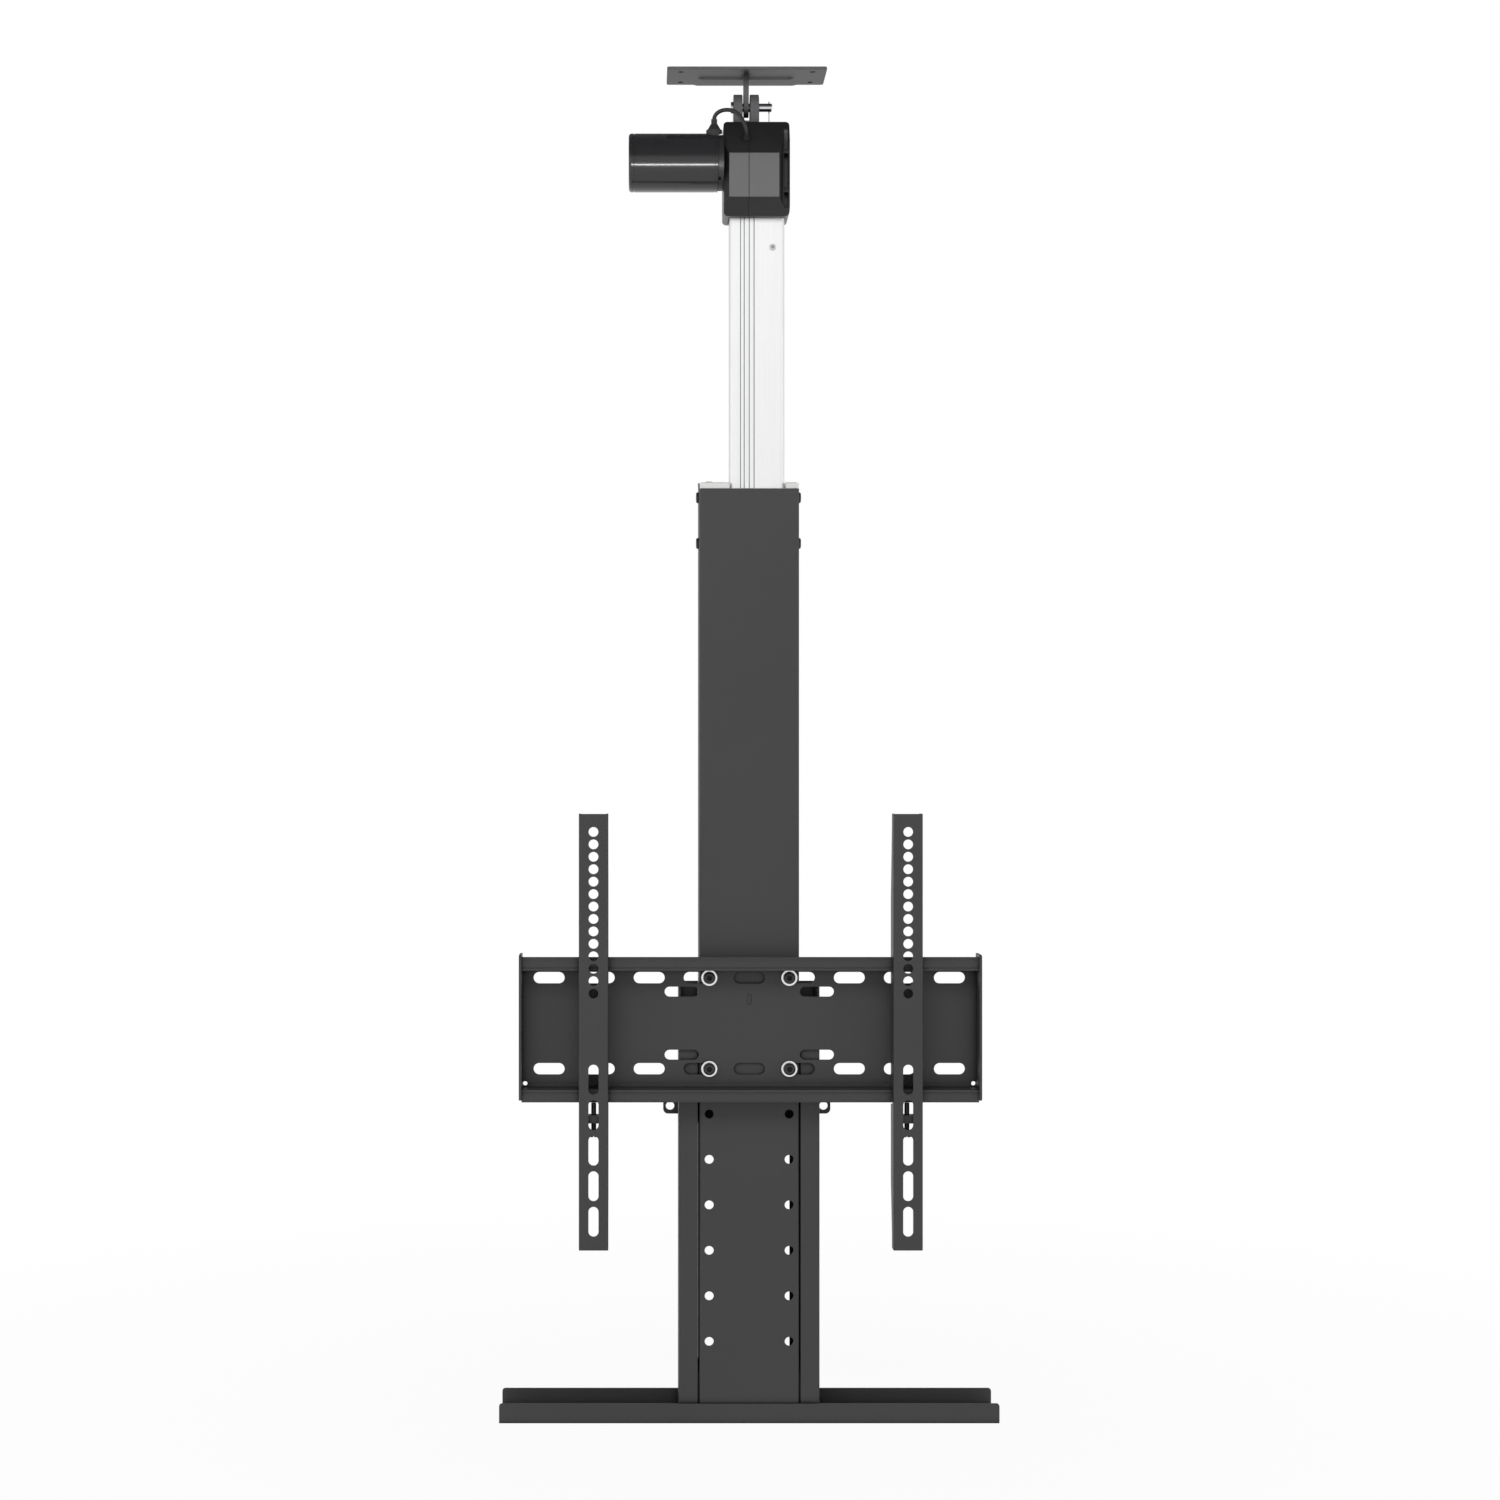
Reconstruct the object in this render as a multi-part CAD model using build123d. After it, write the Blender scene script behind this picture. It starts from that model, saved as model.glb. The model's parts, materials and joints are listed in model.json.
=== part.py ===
from build123d import *
import math
import os

# Electric TV lift. Millimetres, Z up, front of the lift towards -Y.
# The origin is the centre of the underside of the foot channel.

# Sliding and screw clearances
slide_gap = 0.3
shaft_gap = 0.05
screw_gap = 0.4

# Foot channel
foot_length = 500.0
foot_depth = 70.0
foot_height = 20.0
foot_sheet = 2.5
foot_corner_radius = 3.0
floor_hole_radius = 4.5
floor_hole_spacings = (450.0, 240.0)

# Guide rails either side of the column
rail_sheet = 2.0
rail_height = 437.0
rail_lip_width = 19.0
rail_front_lip_top = 398.0
rail_to_column_gap = 1.5
rail_front_setback = 1.0

# Rear strap across the rails
strap_hole_z = 309.0
strap_thickness = 3.0
strap_height = 34.0
strap_ear_height = 16.0
strap_ear_length = 15.0
strap_hole_radius = 4.35
strap_hole_spacing = 157.0

# Column
column_width = 100.0
column_depth = 63.0
column_sheet = 2.0
column_top = 945.0
front_rim_drop = 10.5
column_back_lip = 6.5
column_bend_radius = 1.2
stop_height = 5.0
column_hole_radius = 4.5
column_hole_spacing = 80.0
column_hole_first = 81.5
column_hole_pitch = 45.5
column_hole_rows = 9

# Glide blocks between rails and column
rail_glide_rise = 31.0
rail_glide_height = 52.0
glide_relief_depth = 5.5
column_glide_bottom = 14.0
column_glide_height = 38.0

# Guide block at the top of the column
guide_height = 70.0
guide_rise = 6.5
guide_flange_height = 3.0
guide_screw_drops = (14.0, 60.0)

# Actuator, measured from its spindle axis
actuator_x = -2.0
profile_left = 17.0
profile_right = 38.0
profile_depth = 38.0
profile_wall = 2.6
profile_corner = 3.5
profile_bore_radius = 15.0
profile_bottom = 606.0
profile_seat = 6.0
groove_width = 0.9
groove_depth = 0.8
groove_offsets = (-6.2, -2.5, 2.6, 7.4)

# Gearbox and motor
gearbox_bottom = 1208.0
gearbox_height = 95.0
gearbox_left = 23.5
gearbox_right = 42.5
gearbox_back = 24.0
gearbox_front = 46.0
gearbox_seam = 0.15
seam_shift = 1.4
worm_rise = 54.0
worm_offset = 22.0
top_edge_setback = 24.0
bottom_edge_setback = 26.0
panel_low = 15.5
panel_high = 59.3
band_width = 7.0
band_setback = 9.0
rib_rises = (5.5, 23.2, 62.0, 88.0)
rib_thickness = 2.6
band_wall = 1.6
pocket_depth = 9.0
motor_radius = 29.0
motor_length = 95.0
motor_groove_depth = 0.5

# Push rod, spindle and drive nut
rod_radius = 12.5
rod_wall = 2.3
spindle_radius = 7.0
anchor_row = 5
anchor_pin_radius = 4.0
rod_eye_height = 30.0
rod_top = 830.0
nut_height = 34.0
wheel_radius = 18.0
wheel_width = 14.0
wheel_teeth = 24

# Clevis, its pin and the top plate
clevis_ear = 9.0
clevis_gap = 7.6
clevis_depth = 26.0
clevis_base = 4.0
pin_rise = 19.5
pin_radius = 4.2
tongue_thickness = 5.0
tongue_radius = 10.0
plate_length = 160.0
plate_depth = 65.0
plate_thickness = 3.0
plate_rise = 31.0
trough_length = 100.0
trough_front = 27.5
trough_back = 10.5
trough_depth = 2.0
trough_slope = 4.0
back_tab_length = 98.0
back_tab_depth = 4.0
plate_hole_radius = 2.75
plate_hole_spacing_x = 132.0
plate_hole_spacing_y = 43.0

# TV bracket and its two arms
bracket_width = 458.0
bracket_sheet = 2.5
shelf_to_washer = 1.0
top_lip_rise = 13.0
bottom_shelf_drop = 20.5
bottom_lip_drop = 10.0
rail_shelf_depth = 24.0
lip_edge_thickness = 0.9
shelf_bend_radius = 3.0
slot_length = 31.0
slot_width = 11.5
slot_pitch = 50.0
slot_count = 9
inner_slot_length = 34.0
inner_slot_width = 10.0
inner_slot_x = 67.6
inner_slot_z = 31.5
arm_spacing = 310.0
arm_width = 29.0
arm_length = 430.0
arm_sheet = 2.0
arm_bottom = 180.0
arm_depth = 30.0
arm_low_taper = 70.0
arm_high_taper = 90.0
arm_hole_radius = 4.8
arm_hole_pitch = 12.25
arm_hole_count = 14
arm_slot_length = 29.5
arm_slot_width = 9.9
arm_slot_pitch = 35.0
arm_slot_count = 5
lock_screw_radius = 2.5

# Fasteners
small_screw_radius = 2.5
small_head_radius = 5.0
small_head_height = 2.8
bracket_bolt_radius = 4.0
bracket_head_radius = 6.0
bracket_head_height = 4.5
washer_radius = 8.0
washer_thickness = 1.6
nut_across_flats = 13.0
nut_thickness = 6.5
small_nut_across = 8.0
small_nut_thickness = 4.0
profile_screw_radius = 1.5
profile_head_radius = 2.6
profile_head_height = 1.4
case_screw_radius = 2.0
case_head_radius = 3.8

# Motor lead and the gland where it enters the gearbox
lead_radius = 2.0
gland_radius = 3.6
gland_length = 5.0
gland_drop = 20.0

# Places worked out from the sizes above
column_front_top = column_top - front_rim_drop
anchor_height = column_hole_first + anchor_row * column_hole_pitch
guide_top = column_front_top + guide_rise
guide_bottom = guide_top - guide_height
guide_screw_heights = tuple(guide_top - drop for drop in guide_screw_drops)
rail_glide_bottom = strap_hole_z + rail_glide_rise
gearbox_top = gearbox_bottom + gearbox_height
worm_height = gearbox_bottom + worm_rise
panel_top = gearbox_bottom + panel_high
pin_height = gearbox_top + pin_rise
plate_under = pin_height + plate_rise
foot_inside = foot_depth / 2 - foot_sheet
column_front = -foot_inside + 0.5
column_back = column_front + column_depth
column_half = column_width / 2
column_inside = column_half - column_sheet
column_bottom = foot_sheet + stop_height
rail_front = column_front + rail_front_setback
rail_back = foot_inside
rail_inner = column_half + rail_to_column_gap
rail_outer = rail_inner + rail_lip_width
rail_wall = rail_outer - rail_sheet
plate_back = column_front
plate_front = plate_back - bracket_sheet
lip_back = plate_front - rail_shelf_depth
lip_front = lip_back - bracket_sheet
arm_back = lip_back + 14.0
arm_front = arm_back - arm_depth
bolt_rows = (column_hole_first + 6 * column_hole_pitch, column_hole_first + 8 * column_hole_pitch)
bracket_middle = sum(bolt_rows) / 2
top_shelf = bolt_rows[1] + washer_radius + shelf_to_washer + bracket_sheet
bottom_shelf = bolt_rows[0] - bottom_shelf_drop
bracket_top = top_shelf + top_lip_rise
bracket_bottom = bottom_shelf - bottom_lip_drop
profile_middle_x = actuator_x + (profile_right - profile_left) / 2
profile_width = profile_left + profile_right
profile_top = gearbox_bottom + profile_seat
gearbox_left_x = actuator_x - gearbox_left
gearbox_right_x = actuator_x + gearbox_right
clevis_half = clevis_gap / 2 + clevis_ear
clevis_top = pin_height + clevis_depth / 2
plate_top = plate_under + plate_thickness
nut_bottom = rod_top - nut_height


# Shapes placed by their limits

def block(x0, x1, y0, y1, z0, z1):
    centre = Location(((x0 + x1) / 2, (y0 + y1) / 2, (z0 + z1) / 2))
    return centre * Box(abs(x1 - x0), abs(y1 - y0), abs(z1 - z0))


def upright(x, y, z0, z1, radius):
    return Location((x, y, (z0 + z1) / 2)) * Cylinder(radius, z1 - z0)


def along_x(x0, x1, y, z, radius):
    return Location(((x0 + x1) / 2, y, z), (0, 90, 0)) * Cylinder(radius, abs(x1 - x0))


def along_y(x, y0, y1, z, radius):
    return Location((x, (y0 + y1) / 2, z), (90, 0, 0)) * Cylinder(radius, abs(y1 - y0))


def slot_along_x(x, z, y0, y1, length, width):
    sketch = Plane.XZ * Pos(x, z) * SlotOverall(length, width)
    return Pos(0, (y0 + y1) / 2, 0) * extrude(sketch, abs(y1 - y0) / 2, both=True)


def slot_along_z(x, z, y0, y1, length, width):
    sketch = Plane.XZ * Pos(x, z) * Rot(0, 0, 90) * SlotOverall(length, width)
    return Pos(0, (y0 + y1) / 2, 0) * extrude(sketch, abs(y1 - y0) / 2, both=True)


def side_profile(points, x0, x1):
    outline = Plane.YZ * make_face(Polyline(points, close=True))
    return Pos((x0 + x1) / 2, 0, 0) * extrude(outline, abs(x1 - x0) / 2, both=True)


def plan_profile(points, z0, z1):
    outline = make_face(Polyline(points, close=True))
    return Pos(0, 0, z0) * extrude(outline, z1 - z0)


def hexagon_along_y(x, y0, y1, z, across_flats):
    sketch = Plane.XZ * Pos(x, z) * RegularPolygon(across_flats / 2, 6, major_radius=False)
    return Pos(0, (y0 + y1) / 2, 0) * extrude(sketch, abs(y1 - y0) / 2, both=True)


def hexagon_upright(x, y, z0, z1, across_flats):
    sketch = Pos(x, y) * RegularPolygon(across_flats / 2, 6, major_radius=False)
    return Pos(0, 0, z0) * extrude(sketch, z1 - z0)


def mirrored(shape):
    return mirror(shape, Plane.YZ)


def button_screw_x(x_head, direction, y, z, length, radius, head_radius, head_height):
    outer = x_head + direction * head_height
    head = along_x(x_head, outer, y, z, head_radius)
    head = fillet(head.edges().sort_by(Axis.X)[-1 if direction > 0 else 0], head_height * 0.6)
    socket = along_x(outer, outer - direction * head_height * 0.5, y, z, head_radius * 0.35)
    return head + along_x(x_head, x_head - direction * length, y, z, radius) - socket


def button_screw_y(x, y_head, direction, z, length, radius, head_radius, head_height):
    outer = y_head + direction * head_height
    head = along_y(x, y_head, outer, z, head_radius)
    head = fillet(head.edges().sort_by(Axis.Y)[-1 if direction > 0 else 0], head_height * 0.5)
    socket = hexagon_along_y(x, outer, outer - direction * head_height * 0.5, z, head_radius * 0.8)
    return head + along_y(x, y_head, y_head - direction * length, z, radius) - socket


# Foot and guide frame

def foot_channel():
    outer = block(-foot_length / 2, foot_length / 2, -foot_depth / 2, foot_depth / 2, 0, foot_height)
    top_corners = outer.edges().filter_by(Axis.Y).group_by(Axis.Z)[-1]
    outer = fillet(top_corners, foot_corner_radius)
    trough = block(-foot_length, foot_length, -foot_inside, foot_inside, foot_sheet, foot_height + 1)
    channel = outer - trough
    bends = channel.edges().filter_by(Axis.X).group_by(Axis.Z)[0]
    channel = fillet(bends, foot_sheet * 0.8)
    for spacing in floor_hole_spacings:
        for side in (-1, 1):
            channel -= upright(side * spacing / 2, 0, -1, foot_sheet + 1, floor_hole_radius)
    for x, y in foot_screw_places():
        channel -= countersink(x, y, screw_gap / 2)
    return channel


def foot_screw_places():
    x = (rail_inner + rail_wall) / 2
    return [(side * x, y) for side in (-1, 1) for y in (-16.0, 16.0)]


def countersink(x, y, extra):
    cone = Pos(x, y, foot_sheet / 2) * Cone(small_head_radius + extra, small_screw_radius + extra, foot_sheet)
    return cone


def foot_screws():
    screws = []
    foot_screw_end = foot_sheet + rail_sheet + small_nut_thickness + 1.5
    for x, y in foot_screw_places():
        screws.append(countersink(x, y, 0) + upright(x, y, foot_sheet, foot_screw_end, small_screw_radius))
    return screws


def foot_nuts():
    nuts = []
    base = foot_sheet + rail_sheet
    for x, y in foot_screw_places():
        nut = hexagon_upright(x, y, base, base + small_nut_thickness, small_nut_across)
        nuts.append(nut - upright(x, y, base - 1, base + 6, small_screw_radius + 0.1))
    return nuts


def guide_rail():
    base = foot_sheet
    shell = block(rail_inner, rail_outer, rail_front, rail_back, base, rail_height)
    bends = shell.edges().filter_by(Axis.Z).group_by(Axis.X)[-1]
    shell = fillet(bends, rail_sheet * 0.9)
    shell += block(column_half + slide_gap, rail_inner + 1, rail_back - rail_sheet, rail_back,
                   base + rail_sheet, rail_height)
    hollow = block(0, rail_wall, rail_front + rail_sheet, rail_back - rail_sheet,
                   base + rail_sheet, rail_height + 1)
    shell -= hollow
    shell -= block(0, rail_wall, rail_front - 1, rail_front + rail_sheet + 0.01,
                   rail_front_lip_top, rail_height + 1)
    shell -= block(0, rail_inner + slide_gap, rail_front - 1, rail_back + 1, base - 1, base + rail_sheet)
    for x, y in foot_screw_places():
        if x > 0:
            shell -= upright(x, y, base - 1, base + rail_sheet + 1, small_screw_radius + screw_gap)
    for x, z in strap_screw_places():
        if x > 0:
            shell -= along_y(x, rail_back - rail_sheet - 1, rail_back + 1, z, small_screw_radius + screw_gap)
    for y, z in rail_glide_screw_places():
        shell -= along_x(rail_wall - 1, rail_outer + 1, y, z, small_screw_radius + screw_gap)
    return shell


def strap_screw_places():
    x = (rail_inner + rail_wall) / 2
    return [(side * x, strap_hole_z) for side in (-1, 1)]


def rear_strap():
    back = rail_back + strap_thickness
    half = strap_height / 2
    ear_end = rail_outer + strap_ear_length
    strap = block(-rail_outer, rail_outer, rail_back, back, strap_hole_z - half, strap_hole_z + half)
    ears = block(-ear_end, ear_end, rail_back, back,
                 strap_hole_z - strap_ear_height / 2, strap_hole_z + strap_ear_height / 2)
    ears = fillet(ears.edges().filter_by(Axis.Y), 5.0)
    strap += ears
    for side in (-1, 1):
        strap -= along_y(side * strap_hole_spacing / 2, rail_back - 1, back + 1, strap_hole_z,
                         strap_hole_radius)
    for x, z in strap_screw_places():
        strap -= along_y(x, rail_back - 1, back + 1, z, small_screw_radius + screw_gap)
    return strap


def strap_screws():
    screws = []
    back = rail_back + strap_thickness
    for x, z in strap_screw_places():
        reach = strap_thickness + rail_sheet + small_nut_thickness + 0.5
        screws.append(button_screw_y(x, back, 1, z, reach, small_screw_radius,
                                     small_head_radius, small_head_height))
        nut_back = rail_back - rail_sheet
        nut = hexagon_along_y(x, nut_back - small_nut_thickness, nut_back, z, small_nut_across)
        screws.append(nut - along_y(x, rail_back - 10, rail_back, z, small_screw_radius + 0.1))
    return screws


def rail_glide_screw_places():
    middle = rail_glide_bottom + rail_glide_height / 2
    return [(y, middle + dz) for y in (0.0,) for dz in (-14.0, 14.0)]


def rail_glide():
    front = rail_front + rail_sheet
    back = rail_back - rail_sheet
    glide = block(column_half + slide_gap, rail_wall, front, back,
                  rail_glide_bottom, rail_glide_bottom + rail_glide_height)
    edges = glide.edges().filter_by(Axis.Y).group_by(Axis.X)[0]
    glide = chamfer(edges, 2.0)
    glide -= block(column_half - 1, column_half + 4.0, -8, 8, 0, rail_height)
    for y, z in rail_glide_screw_places():
        glide -= along_x(rail_wall - 11, rail_wall + 1, y, z, small_screw_radius + 0.1)
    return glide


def rail_glide_screws():
    screws = []
    for y, z in rail_glide_screw_places():
        screw = button_screw_x(rail_outer, 1, y, z, rail_sheet + 9, small_screw_radius,
                               small_head_radius, small_head_height)
        screws += [screw, mirrored(screw)]
    return screws


def stop_buffers():
    buffers = []
    for side in (-1, 1):
        x = side * (column_half - 9.0)
        pad = upright(x, column_front + 12.0, foot_sheet, column_bottom, 9.0)
        buffers.append(fillet(pad.edges().group_by(Axis.Z)[-1], 1.0))
        pad = upright(x, column_back - 12.0, foot_sheet, column_bottom, 9.0)
        buffers.append(fillet(pad.edges().group_by(Axis.Z)[-1], 1.0))
    return buffers


# Column and what it carries

def column():
    shell = block(-column_half, column_half, column_front, column_back, column_bottom, column_top)
    shell = fillet(shell.edges().filter_by(Axis.Z), column_bend_radius * 2)
    inside = block(-column_inside, column_inside, column_front + column_sheet, column_back - column_sheet,
                   0, column_top + 1)
    shell -= inside
    mouth = column_half - column_back_lip
    shell -= block(-mouth, mouth, 0, column_back + 1, 0, column_top + 1)
    rim = [(column_front - 1, column_front_top), (column_front + 6.0, column_front_top),
           (column_back - 8.0, column_top), (column_back - 8.0, column_top + 1),
           (column_front - 1, column_top + 1)]
    shell -= side_profile(rim, -column_half - 1, column_half + 1)
    for row in range(column_hole_rows):
        z = column_hole_first + row * column_hole_pitch
        for side in (-1, 1):
            shell -= along_y(side * column_hole_spacing / 2, column_front - 1,
                             column_front + column_sheet + 1, z, column_hole_radius)
    for side in (-1, 1):
        for z in guide_screw_heights:
            shell -= along_x(side * (column_inside - 1), side * (column_half + 1), guide_screw_y(), z,
                             small_screw_radius + screw_gap)
        for z in column_glide_screw_heights():
            shell -= along_x(side * (column_inside - 1), side * (column_half + 1), 0, z,
                             small_screw_radius + screw_gap)
    return shell


def guide_screw_y():
    return column_front + 20.0


def column_glide_screw_heights():
    middle = column_glide_bottom + column_glide_height / 2
    return (middle - 10.0, middle + 10.0)


def column_glide():
    front = rail_front + rail_sheet + slide_gap
    back = rail_back - rail_sheet - slide_gap
    glide = block(column_half, rail_wall - slide_gap, front, back,
                  column_glide_bottom, column_glide_bottom + column_glide_height)
    glide = chamfer(glide.edges().filter_by(Axis.Y).group_by(Axis.X)[-1], 2.0)
    for z in column_glide_screw_heights():
        glide -= along_x(column_half - 1, column_half + 10, 0, z, small_screw_radius + 0.1)
    relief_half = small_nut_across * 0.58 + screw_gap
    for x, z in strap_screw_places():
        glide -= block(x - relief_half, x + relief_half, back - glide_relief_depth, back + 1,
                       0, rail_height)
    return glide


def column_glide_screws():
    screws = []
    for z in column_glide_screw_heights():
        screw = button_screw_x(column_inside, -1, 0, z, column_sheet + 8, small_screw_radius,
                               small_head_radius, small_head_height)
        screws += [screw, mirrored(screw)]
    return screws


def profile_outline(extra):
    sketch = Pos(profile_middle_x, 0) * RectangleRounded(profile_width + 2 * extra,
                                                         profile_depth + 2 * extra,
                                                         profile_corner + extra)
    return sketch


def top_guide():
    front = column_front + column_sheet
    back = column_back - column_sheet
    body = block(-column_inside, column_inside, front, back, guide_bottom, guide_top)
    body = fillet(body.edges().filter_by(Axis.Z), 1.5)
    channel = Pos(0, 0, guide_bottom - 1) * extrude(profile_outline(slide_gap), guide_top - guide_bottom + 2)
    body -= channel
    left_pocket = block(-column_inside + 5, actuator_x - profile_left - 5, front + 5, back - 5,
                        guide_bottom - 1, guide_top - guide_flange_height)
    body -= left_pocket
    head_x = profile_screw_place()[0]
    head_room = profile_head_radius + screw_gap
    groove_front = -profile_depth / 2 - profile_head_height - screw_gap
    body -= block(head_x - head_room, head_x + head_room, groove_front, 0, guide_bottom - 1, guide_top + 1)
    lip = block(-column_half + 0.5, column_half - 0.5, column_front + 0.6, column_front + 5.4,
                column_front_top + 0.1, guide_top - 1.0)
    body += lip
    boss = upright(-40, front + 11, guide_top - 1, guide_top + 1.5, 3.2)
    for side in (-1, 1):
        for z in guide_screw_heights:
            body -= along_x(side * (column_inside - 4.9), side * (column_inside + 1), guide_screw_y(), z,
                            small_screw_radius + 0.1)
    return body + boss


def top_guide_screws():
    screws = []
    for z in guide_screw_heights:
        screw = button_screw_x(column_half, 1, guide_screw_y(), z, column_sheet + 4.5, small_screw_radius,
                               small_head_radius + 0.5, small_head_height)
        screws += [screw, mirrored(screw)]
    return screws


def rod_anchor():
    front = column_front + column_sheet
    reach = 9.0
    low = anchor_height - 14.0
    high = anchor_height + 14.0
    web_half = column_hole_spacing / 2 - column_hole_radius - 1.0
    web = block(-web_half, web_half, front, front + 3.0, low, high)
    ears = []
    for side in (-1, 1):
        inner = actuator_x + side * (rod_radius + 0.5)
        outer = inner + side * 4.0
        ears.append(block(inner, outer, front, reach, low, high))
    bracket = web + ears[0] + ears[1]
    bracket -= along_x(actuator_x - 30, actuator_x + 30, 0, anchor_height, anchor_pin_radius + shaft_gap)
    return bracket


def anchor_pin():
    end = rod_radius + 0.5 + 4.0
    pin = along_x(actuator_x - end - 3, actuator_x + end + 5, 0, anchor_height, anchor_pin_radius)
    head = along_x(actuator_x - end - 3, actuator_x - end - 0.2, 0, anchor_height, anchor_pin_radius + 2)
    groove = along_x(actuator_x + end + 1, actuator_x + end + 2.2, 0, anchor_height, anchor_pin_radius + 1)
    groove -= along_x(actuator_x + end, actuator_x + end + 3, 0, anchor_height, anchor_pin_radius - 0.8)
    return pin + head - groove


def anchor_clip():
    end = rod_radius + 0.5 + 4.0
    x0 = actuator_x + end + 1.1
    x1 = x0 + 1.0
    ring = along_x(x0, x1, 0, anchor_height, anchor_pin_radius + 2.5)
    ring -= along_x(x0 - 1, x1 + 1, 0, anchor_height, anchor_pin_radius - 0.75)
    return ring - block(x0 - 1, x1 + 1, 0, 20, anchor_height - 2, anchor_height + 2)


def rod_eye():
    top = anchor_height + rod_eye_height
    body = upright(actuator_x, 0, anchor_height - 12, top, rod_radius)
    body -= along_x(actuator_x - 20, actuator_x + 20, 0, anchor_height, anchor_pin_radius + shaft_gap)
    spigot = upright(actuator_x, 0, top, top + 14, rod_radius - rod_wall - shaft_gap)
    return body + spigot - upright(actuator_x, 0, top - 8, top + 20, 4.0)


def push_rod():
    bottom = anchor_height + rod_eye_height
    tube = upright(actuator_x, 0, bottom, nut_bottom, rod_radius)
    return tube - upright(actuator_x, 0, bottom - 1, nut_bottom + 1, rod_radius - rod_wall)


def drive_nut():
    body = upright(actuator_x, 0, nut_bottom, rod_top, profile_bore_radius - slide_gap)
    body = chamfer(body.edges(), 0.8)
    body += upright(actuator_x, 0, nut_bottom - 16, nut_bottom, rod_radius - rod_wall - shaft_gap)
    return body - upright(actuator_x, 0, nut_bottom - 20, rod_top + 1, spindle_radius + slide_gap)


# TV bracket

def bracket_plate():
    half = bracket_width / 2
    flange_front = lip_front - 4.0
    inner = half - bracket_sheet
    plate = block(-half, half, plate_front, plate_back, bottom_shelf, top_shelf)
    plate += block(-inner, inner, lip_front, plate_back, top_shelf - bracket_sheet, top_shelf)
    plate += rolled_lip(inner, top_shelf - bracket_sheet, bracket_top - 2.0)
    plate += block(-inner, inner, lip_front, plate_back, bottom_shelf, bottom_shelf + bracket_sheet)
    plate += rolled_lip(inner, bracket_bottom, bottom_shelf + bracket_sheet)
    plate += shelf_bend(inner, bottom_shelf + bracket_sheet)
    for side in (-1, 1):
        flange = block(side * inner, side * half, flange_front, plate_back, bracket_bottom + 2, bracket_top)
        flange = fillet(flange.edges().filter_by(Axis.X).group_by(Axis.Y)[0], 4.0)
        plate += flange
    for side in (-1, 1):
        plate -= along_y(side * (inner - 2.6), plate_front - shelf_bend_radius - 1, plate_back + 1,
                         bottom_shelf + bracket_sheet + 3.4, 2.2)
    for index in range(slot_count):
        x = (index - (slot_count - 1) / 2) * slot_pitch
        for z in bolt_rows:
            plate -= slot_along_x(x, z, plate_front - 1, plate_back + 1, slot_length, slot_width)
    for side in (-1, 1):
        for rise in (-1, 1):
            plate -= slot_along_x(side * inner_slot_x, bracket_middle + rise * inner_slot_z,
                                  plate_front - 1, plate_back + 1, inner_slot_length, inner_slot_width)
    plate -= slot_along_z(0, bracket_middle + 24.0, plate_front - 1, plate_front + 0.8, 11.0, 5.0)
    return plate


def rolled_lip(half, low, high):
    edge = lip_back - lip_edge_thickness
    front = ThreePointArc((edge, high), (lip_front, (low + high) / 2), (edge, low))
    back = Polyline((edge, low), (lip_back, low), (lip_back, high), (edge, high))
    outline = Plane.YZ * make_face(front + back)
    return extrude(outline, half, both=True)


def shelf_bend(half, z):
    corner = block(-half, half, plate_front - shelf_bend_radius, plate_front, z, z + shelf_bend_radius)
    return corner - along_x(-half - 1, half + 1, plate_front - shelf_bend_radius, z + shelf_bend_radius,
                            shelf_bend_radius)


def bolt_places():
    half = column_hole_spacing / 2
    return [(side * half, z) for side in (-1, 1) for z in bolt_rows]


def bracket_bolts():
    bolts = []
    head_seat = plate_front - washer_thickness
    reach = washer_thickness + bracket_sheet + column_sheet + nut_thickness + 1.5
    for x, z in bolt_places():
        bolts.append(button_screw_y(x, head_seat, -1, z, reach, bracket_bolt_radius,
                                    bracket_head_radius, bracket_head_height))
    return bolts


def bracket_washers():
    washers = []
    for x, z in bolt_places():
        disc = along_y(x, plate_front - washer_thickness, plate_front, z, washer_radius)
        washers.append(disc - along_y(x, plate_front - 5, plate_front + 1, z, bracket_bolt_radius + 0.2))
    return washers


def bracket_nuts():
    nuts = []
    seat = column_front + column_sheet
    for x, z in bolt_places():
        nut = hexagon_along_y(x, seat, seat + nut_thickness, z, nut_across_flats)
        nuts.append(nut - along_y(x, seat - 1, seat + 10, z, bracket_bolt_radius + 0.1))
    return nuts


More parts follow.
